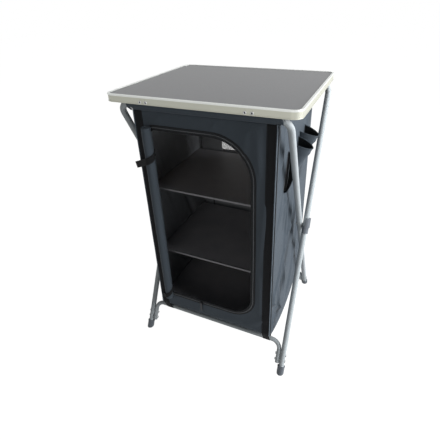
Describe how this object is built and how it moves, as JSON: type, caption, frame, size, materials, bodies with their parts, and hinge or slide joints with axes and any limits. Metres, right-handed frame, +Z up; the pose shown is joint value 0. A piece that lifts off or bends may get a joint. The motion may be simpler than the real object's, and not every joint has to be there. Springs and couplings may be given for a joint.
{
  "type": "camping cupboard",
  "caption": "Folding camping cupboard: a fabric cabinet with inner boards and a rolled-up door, hung on crossed tube frames under a removable tabletop with a metal edge.",
  "frame": {"origin": "on the floor, under the middle of the tabletop", "axes": "+Z up, -Y towards the open door at the front, +X towards the side with the pockets"},
  "size_m": [0.61, 0.5334, 1],
  "materials": {
    "frame_b_tube": "satin silver-grey powder coat",
    "frame_b_legs": "satin silver-grey powder coat",
    "front_crossbar": "satin silver-grey powder coat",
    "front_leg_bolts": "zinc-plated steel",
    "front_leg_nuts": "zinc-plated steel",
    "front_foot_caps": "dark blue-grey moulded plastic",
    "crossing_clips": "dark blue-grey moulded plastic",
    "rear_top_sleeve": "dark slate polyester, fine plain weave",
    "front_bar_loops": "black polyester webbing and tape",
    "frame_a_tube": "satin silver-grey powder coat",
    "frame_a_legs": "satin silver-grey powder coat",
    "rear_crossbar": "satin silver-grey powder coat",
    "rear_leg_bolts": "zinc-plated steel",
    "rear_leg_nuts": "zinc-plated steel",
    "rear_foot_caps": "dark blue-grey moulded plastic",
    "front_top_sleeve": "dark slate polyester, fine plain weave",
    "rear_bar_loops": "black polyester webbing and tape",
    "pivot_bolts": "zinc-plated steel",
    "pivot_spacers": "dark blue-grey moulded plastic",
    "pivot_nuts": "zinc-plated steel",
    "tabletop_edge": "satin anodised aluminium",
    "tabletop_core": "fibreboard core",
    "tabletop_laminate": "satin dark grey laminate",
    "tabletop_hooks": "zinc-plated steel",
    "tabletop_rivets": "satin anodised aluminium",
    "front_panel": "dark slate polyester, fine plain weave",
    "back_panel": "dark slate polyester, fine plain weave",
    "left_panel": "dark slate polyester, fine plain weave",
    "right_panel": "dark slate polyester, fine plain weave",
    "floor_panel": "dark slate polyester, fine plain weave",
    "window_mesh": "black polyester net",
    "window_tape": "black polyester webbing and tape",
    "front_webbing": "black polyester webbing and tape",
    "rear_webbing": "black polyester webbing and tape",
    "corner_piping": "dark slate polyester, fine plain weave",
    "zip_tape": "black polyester webbing and tape",
    "rolled_door": "dark slate polyester, fine plain weave",
    "door_tie_straps": "black polyester webbing and tape",
    "shelf_ledges": "dark slate polyester, fine plain weave",
    "rear_cup_pocket": "dark slate polyester, fine plain weave",
    "front_cup_pocket": "dark slate polyester, fine plain weave",
    "slit_pocket": "dark slate polyester, fine plain weave",
    "upper_shelf": "fibreboard wrapped in smooth black film",
    "middle_shelf": "fibreboard wrapped in smooth black film",
    "bottom_board": "fibreboard wrapped in smooth black film",
    "zip_slider": "black enamelled zip hardware",
    "zip_pull": "black enamelled zip hardware"
  },
  "bodies": {
    "frame_b": {"frame_b_tube": "frame_b_tube", "frame_b_legs": "frame_b_legs", "front_crossbar": "front_crossbar", "front_leg_bolts": "front_leg_bolts", "front_leg_nuts": "front_leg_nuts", "front_foot_caps": "front_foot_caps", "crossing_clips": "crossing_clips", "rear_top_sleeve": "rear_top_sleeve", "front_bar_loops": "front_bar_loops"},
    "frame_a": {"frame_a_tube": "frame_a_tube", "frame_a_legs": "frame_a_legs", "rear_crossbar": "rear_crossbar", "rear_leg_bolts": "rear_leg_bolts", "rear_leg_nuts": "rear_leg_nuts", "rear_foot_caps": "rear_foot_caps", "front_top_sleeve": "front_top_sleeve", "rear_bar_loops": "rear_bar_loops"},
    "pivot_pins": {"pivot_bolts": "pivot_bolts", "pivot_spacers": "pivot_spacers", "pivot_nuts": "pivot_nuts"},
    "tabletop": {"tabletop_edge": "tabletop_edge", "tabletop_core": "tabletop_core", "tabletop_laminate": "tabletop_laminate", "tabletop_hooks": "tabletop_hooks", "tabletop_rivets": "tabletop_rivets"},
    "cabinet": {"front_panel": "front_panel", "back_panel": "back_panel", "left_panel": "left_panel", "right_panel": "right_panel", "floor_panel": "floor_panel", "window_mesh": "window_mesh", "window_tape": "window_tape", "front_webbing": "front_webbing", "rear_webbing": "rear_webbing", "corner_piping": "corner_piping", "zip_tape": "zip_tape", "rolled_door": "rolled_door", "door_tie_straps": "door_tie_straps", "shelf_ledges": "shelf_ledges", "rear_cup_pocket": "rear_cup_pocket", "front_cup_pocket": "front_cup_pocket", "slit_pocket": "slit_pocket"},
    "upper_shelf": {"upper_shelf": "upper_shelf"},
    "middle_shelf": {"middle_shelf": "middle_shelf"},
    "bottom_board": {"bottom_board": "bottom_board"},
    "zip_slider": {"zip_slider": "zip_slider"},
    "zip_pull": {"zip_pull": "zip_pull"}
  },
  "joints": [
    {"name": "frame_fold", "type": "hinge", "parent": "frame_b", "child": "frame_a", "pos_m": [0, 0, 0.50556], "axis": [-1, 0, 0], "range_deg": [0, 49.4], "deforming": ["front_panel", "back_panel", "left_panel", "right_panel", "floor_panel", "window_mesh", "window_tape", "front_webbing", "rear_webbing", "corner_piping", "zip_tape", "rolled_door", "door_tie_straps", "shelf_ledges", "rear_cup_pocket", "front_cup_pocket", "slit_pocket", "rear_top_sleeve", "front_top_sleeve", "front_bar_loops", "rear_bar_loops"]},
    {"name": "hub_turn", "type": "hinge", "parent": "frame_b", "child": "pivot_pins", "pos_m": [0, 0, 0.50556], "axis": [-1, 0, 0], "range_deg": [0, 24.7]},
    {"name": "cabinet_rise", "type": "slide", "parent": "pivot_pins", "child": "cabinet", "axis": [0, 0, 1], "range_m": [0, 0.048]},
    {"name": "upper_shelf_tip", "type": "hinge", "parent": "cabinet", "child": "upper_shelf", "pos_m": [0, -0.01, 0.657], "axis": [1, 0, 0], "range_deg": [0, 90]},
    {"name": "middle_shelf_tip", "type": "hinge", "parent": "cabinet", "child": "middle_shelf", "pos_m": [0, -0.002, 0.382], "axis": [1, 0, 0], "range_deg": [0, 90]},
    {"name": "bottom_board_tip", "type": "hinge", "parent": "cabinet", "child": "bottom_board", "pos_m": [0, -0.089, 0.248], "axis": [1, 0, 0], "range_deg": [0, 90]},
    {"name": "tabletop_lift", "type": "slide", "parent": "frame_b", "child": "tabletop", "axis": [0, 0, 1], "range_m": [0, 0.4]},
    {"name": "zip_slide", "type": "slide", "parent": "cabinet", "child": "zip_slider", "axis": [1, 0, 0], "range_m": [-0.1, 0.11]},
    {"name": "zip_pull_swing", "type": "hinge", "parent": "zip_slider", "child": "zip_pull", "pos_m": [-0.039, -0.2337, 0.2114], "axis": [-1, 0, 0], "range_deg": [-4, 150]}
  ],
  "couplings": [
    {"joint": "hub_turn", "follows": "frame_fold", "ratio": 0.5},
    {"joint": "cabinet_rise", "follows": "frame_fold", "m_per_rad": 0.05564},
    {"joint": "upper_shelf_tip", "follows": "frame_fold", "ratio": 1.821},
    {"joint": "middle_shelf_tip", "follows": "frame_fold", "ratio": 1.821},
    {"joint": "bottom_board_tip", "follows": "frame_fold", "ratio": 1.821},
    {"joint": "tabletop_lift", "follows": "frame_fold", "m_per_rad": 0.4637}
  ]
}
